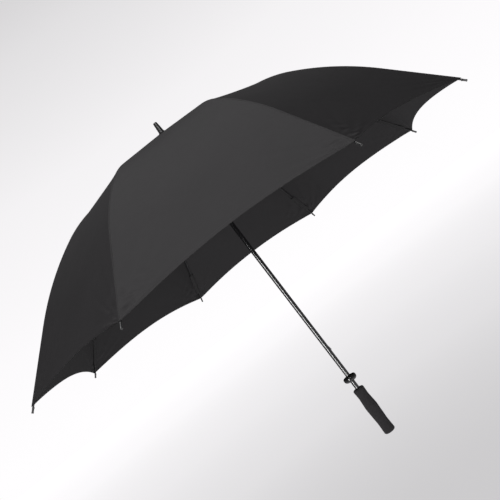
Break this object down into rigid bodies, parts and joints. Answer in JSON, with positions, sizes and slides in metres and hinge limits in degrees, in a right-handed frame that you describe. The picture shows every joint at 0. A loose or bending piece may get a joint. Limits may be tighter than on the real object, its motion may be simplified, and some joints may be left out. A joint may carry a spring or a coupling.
{
  "type": "golf umbrella",
  "caption": "Open straight-handled golf umbrella with a domed single-layer cloth canopy on folding ribs, a tube shaft, sliding runner and foam grip.",
  "frame": {"origin": "middle of the hand grip, on the shaft's axis", "axes": "+Z along the shaft towards the ferrule; the ribs stand at 22.5 degrees and every 45 degrees from +X about +Z"},
  "size_m": [1.2074, 1.2074, 1.0005],
  "materials": {
    "cloth": "matte",
    "fibreglass": "satin",
    "painted_steel": "gloss",
    "moulded_plastic": "gloss",
    "foam": "matte",
    "bright_wire": "satin"
  },
  "bodies": {
    "shaft": {"shaft_tube": "painted_steel", "ferrule": "moulded_plastic", "crown_cap": "moulded_plastic", "notch": "moulded_plastic", "notch_wire": "bright_wire", "stop_pin": "bright_wire", "tip_cup": "moulded_plastic", "grip": "foam", "grip_core": "moulded_plastic"},
    "runner": {"runner": "moulded_plastic", "runner_wire": "bright_wire"},
    "top_catch": {"top_catch": "bright_wire"},
    "bottom_catch": {"bottom_catch": "bright_wire"},
    "rib_inner_1": {"rib_inner_1": "fibreglass", "canopy_panel_1": "cloth"},
    "rib_outer_1": {"rib_outer_1": "fibreglass", "rib_tip_1": "moulded_plastic"},
    "stretcher_1": {"stretcher_1": "painted_steel"},
    "rib_inner_2": {"rib_inner_2": "fibreglass", "canopy_panel_2": "cloth"},
    "rib_outer_2": {"rib_outer_2": "fibreglass", "rib_tip_2": "moulded_plastic"},
    "stretcher_2": {"stretcher_2": "painted_steel"},
    "rib_inner_3": {"rib_inner_3": "fibreglass", "canopy_panel_3": "cloth"},
    "rib_outer_3": {"rib_outer_3": "fibreglass", "rib_tip_3": "moulded_plastic", "tie_strap": "cloth"},
    "stretcher_3": {"stretcher_3": "painted_steel"},
    "rib_inner_4": {"rib_inner_4": "fibreglass", "canopy_panel_4": "cloth"},
    "rib_outer_4": {"rib_outer_4": "fibreglass", "rib_tip_4": "moulded_plastic"},
    "stretcher_4": {"stretcher_4": "painted_steel"},
    "rib_inner_5": {"rib_inner_5": "fibreglass", "canopy_panel_5": "cloth"},
    "rib_outer_5": {"rib_outer_5": "fibreglass", "rib_tip_5": "moulded_plastic"},
    "stretcher_5": {"stretcher_5": "painted_steel"},
    "rib_inner_6": {"rib_inner_6": "fibreglass", "canopy_panel_6": "cloth"},
    "rib_outer_6": {"rib_outer_6": "fibreglass", "rib_tip_6": "moulded_plastic"},
    "stretcher_6": {"stretcher_6": "painted_steel"},
    "rib_inner_7": {"rib_inner_7": "fibreglass", "canopy_panel_7": "cloth"},
    "rib_outer_7": {"rib_outer_7": "fibreglass", "rib_tip_7": "moulded_plastic"},
    "stretcher_7": {"stretcher_7": "painted_steel"},
    "rib_inner_8": {"rib_inner_8": "fibreglass", "canopy_panel_8": "cloth"},
    "rib_outer_8": {"rib_outer_8": "fibreglass", "rib_tip_8": "moulded_plastic"},
    "stretcher_8": {"stretcher_8": "painted_steel"}
  },
  "joints": [
    {"name": "runner_slide", "type": "slide", "parent": "shaft", "child": "runner", "axis": [0, 0, 1], "range_m": [-0.46888, 0]},
    {"name": "top_catch_press", "type": "slide", "parent": "shaft", "child": "top_catch", "axis": [1, 0, 0], "range_m": [-0.003, 0], "stiffness_N_per_m": 600, "springref_m": 0.001},
    {"name": "bottom_catch_press", "type": "slide", "parent": "shaft", "child": "bottom_catch", "axis": [1, 0, 0], "range_m": [-0.003, 0], "stiffness_N_per_m": 600, "springref_m": 0.001},
    {"name": "rib_fold_1", "type": "hinge", "parent": "shaft", "child": "rib_inner_1", "pos_m": [0.01016, 0.00421, 0.8892], "axis": [-0.3827, 0.9239, 0], "range_deg": [0, 72.3], "deforming": ["canopy_panel_1"]},
    {"name": "rib_flex_1", "type": "hinge", "parent": "rib_inner_1", "child": "rib_outer_1", "pos_m": [0.30579, 0.12666, 0.7985], "axis": [-0.3827, 0.9239, 0], "range_deg": [-23.26, 0]},
    {"name": "stretcher_swing_1", "type": "hinge", "parent": "rib_inner_1", "child": "stretcher_1", "pos_m": [0.303, 0.12551, 0.79218], "axis": [-0.3827, 0.9239, 0], "range_deg": [-144.59, 0]},
    {"name": "rib_fold_2", "type": "hinge", "parent": "shaft", "child": "rib_inner_2", "pos_m": [0.00421, 0.01016, 0.8892], "axis": [-0.9239, 0.3827, 0], "range_deg": [0, 72.3], "deforming": ["canopy_panel_2"]},
    {"name": "rib_flex_2", "type": "hinge", "parent": "rib_inner_2", "child": "rib_outer_2", "pos_m": [0.12666, 0.30579, 0.7985], "axis": [-0.9239, 0.3827, 0], "range_deg": [-23.26, 0]},
    {"name": "stretcher_swing_2", "type": "hinge", "parent": "rib_inner_2", "child": "stretcher_2", "pos_m": [0.12551, 0.303, 0.79218], "axis": [-0.9239, 0.3827, 0], "range_deg": [-144.59, 0]},
    {"name": "rib_fold_3", "type": "hinge", "parent": "shaft", "child": "rib_inner_3", "pos_m": [-0.00421, 0.01016, 0.8892], "axis": [-0.9239, -0.3827, 0], "range_deg": [0, 72.3], "deforming": ["canopy_panel_3"]},
    {"name": "rib_flex_3", "type": "hinge", "parent": "rib_inner_3", "child": "rib_outer_3", "pos_m": [-0.12666, 0.30579, 0.7985], "axis": [-0.9239, -0.3827, 0], "range_deg": [-23.26, 0]},
    {"name": "stretcher_swing_3", "type": "hinge", "parent": "rib_inner_3", "child": "stretcher_3", "pos_m": [-0.12551, 0.303, 0.79218], "axis": [-0.9239, -0.3827, 0], "range_deg": [-144.59, 0]},
    {"name": "rib_fold_4", "type": "hinge", "parent": "shaft", "child": "rib_inner_4", "pos_m": [-0.01016, 0.00421, 0.8892], "axis": [-0.3827, -0.9239, 0], "range_deg": [0, 72.3], "deforming": ["canopy_panel_4"]},
    {"name": "rib_flex_4", "type": "hinge", "parent": "rib_inner_4", "child": "rib_outer_4", "pos_m": [-0.30579, 0.12666, 0.7985], "axis": [-0.3827, -0.9239, 0], "range_deg": [-23.26, 0]},
    {"name": "stretcher_swing_4", "type": "hinge", "parent": "rib_inner_4", "child": "stretcher_4", "pos_m": [-0.303, 0.12551, 0.79218], "axis": [-0.3827, -0.9239, 0], "range_deg": [-144.59, 0]},
    {"name": "rib_fold_5", "type": "hinge", "parent": "shaft", "child": "rib_inner_5", "pos_m": [-0.01016, -0.00421, 0.8892], "axis": [0.3827, -0.9239, 0], "range_deg": [0, 72.3], "deforming": ["canopy_panel_5"]},
    {"name": "rib_flex_5", "type": "hinge", "parent": "rib_inner_5", "child": "rib_outer_5", "pos_m": [-0.30579, -0.12666, 0.7985], "axis": [0.3827, -0.9239, 0], "range_deg": [-23.26, 0]},
    {"name": "stretcher_swing_5", "type": "hinge", "parent": "rib_inner_5", "child": "stretcher_5", "pos_m": [-0.303, -0.12551, 0.79218], "axis": [0.3827, -0.9239, 0], "range_deg": [-144.59, 0]},
    {"name": "rib_fold_6", "type": "hinge", "parent": "shaft", "child": "rib_inner_6", "pos_m": [-0.00421, -0.01016, 0.8892], "axis": [0.9239, -0.3827, 0], "range_deg": [0, 72.3], "deforming": ["canopy_panel_6"]},
    {"name": "rib_flex_6", "type": "hinge", "parent": "rib_inner_6", "child": "rib_outer_6", "pos_m": [-0.12666, -0.30579, 0.7985], "axis": [0.9239, -0.3827, 0], "range_deg": [-23.26, 0]},
    {"name": "stretcher_swing_6", "type": "hinge", "parent": "rib_inner_6", "child": "stretcher_6", "pos_m": [-0.12551, -0.303, 0.79218], "axis": [0.9239, -0.3827, 0], "range_deg": [-144.59, 0]},
    {"name": "rib_fold_7", "type": "hinge", "parent": "shaft", "child": "rib_inner_7", "pos_m": [0.00421, -0.01016, 0.8892], "axis": [0.9239, 0.3827, 0], "range_deg": [0, 72.3], "deforming": ["canopy_panel_7"]},
    {"name": "rib_flex_7", "type": "hinge", "parent": "rib_inner_7", "child": "rib_outer_7", "pos_m": [0.12666, -0.30579, 0.7985], "axis": [0.9239, 0.3827, 0], "range_deg": [-23.26, 0]},
    {"name": "stretcher_swing_7", "type": "hinge", "parent": "rib_inner_7", "child": "stretcher_7", "pos_m": [0.12551, -0.303, 0.79218], "axis": [0.9239, 0.3827, 0], "range_deg": [-144.59, 0]},
    {"name": "rib_fold_8", "type": "hinge", "parent": "shaft", "child": "rib_inner_8", "pos_m": [0.01016, -0.00421, 0.8892], "axis": [0.3827, 0.9239, 0], "range_deg": [0, 72.3], "deforming": ["canopy_panel_8"]},
    {"name": "rib_flex_8", "type": "hinge", "parent": "rib_inner_8", "child": "rib_outer_8", "pos_m": [0.30579, -0.12666, 0.7985], "axis": [0.3827, 0.9239, 0], "range_deg": [-23.26, 0]},
    {"name": "stretcher_swing_8", "type": "hinge", "parent": "rib_inner_8", "child": "stretcher_8", "pos_m": [0.303, -0.12551, 0.79218], "axis": [0.3827, 0.9239, 0], "range_deg": [-144.59, 0]}
  ],
  "couplings": [
    {"joint": "rib_fold_1", "follows": "runner_slide", "rad_per_m": -2.6909},
    {"joint": "rib_flex_1", "follows": "runner_slide", "rad_per_m": 0.86544},
    {"joint": "stretcher_swing_1", "follows": "runner_slide", "rad_per_m": 5.3818},
    {"joint": "rib_fold_2", "follows": "runner_slide", "rad_per_m": -2.6909},
    {"joint": "rib_flex_2", "follows": "runner_slide", "rad_per_m": 0.86544},
    {"joint": "stretcher_swing_2", "follows": "runner_slide", "rad_per_m": 5.3818},
    {"joint": "rib_fold_3", "follows": "runner_slide", "rad_per_m": -2.6909},
    {"joint": "rib_flex_3", "follows": "runner_slide", "rad_per_m": 0.86544},
    {"joint": "stretcher_swing_3", "follows": "runner_slide", "rad_per_m": 5.3818},
    {"joint": "rib_fold_4", "follows": "runner_slide", "rad_per_m": -2.6909},
    {"joint": "rib_flex_4", "follows": "runner_slide", "rad_per_m": 0.86544},
    {"joint": "stretcher_swing_4", "follows": "runner_slide", "rad_per_m": 5.3818},
    {"joint": "rib_fold_5", "follows": "runner_slide", "rad_per_m": -2.6909},
    {"joint": "rib_flex_5", "follows": "runner_slide", "rad_per_m": 0.86544},
    {"joint": "stretcher_swing_5", "follows": "runner_slide", "rad_per_m": 5.3818},
    {"joint": "rib_fold_6", "follows": "runner_slide", "rad_per_m": -2.6909},
    {"joint": "rib_flex_6", "follows": "runner_slide", "rad_per_m": 0.86544},
    {"joint": "stretcher_swing_6", "follows": "runner_slide", "rad_per_m": 5.3818},
    {"joint": "rib_fold_7", "follows": "runner_slide", "rad_per_m": -2.6909},
    {"joint": "rib_flex_7", "follows": "runner_slide", "rad_per_m": 0.86544},
    {"joint": "stretcher_swing_7", "follows": "runner_slide", "rad_per_m": 5.3818},
    {"joint": "rib_fold_8", "follows": "runner_slide", "rad_per_m": -2.6909},
    {"joint": "rib_flex_8", "follows": "runner_slide", "rad_per_m": 0.86544},
    {"joint": "stretcher_swing_8", "follows": "runner_slide", "rad_per_m": 5.3818}
  ]
}
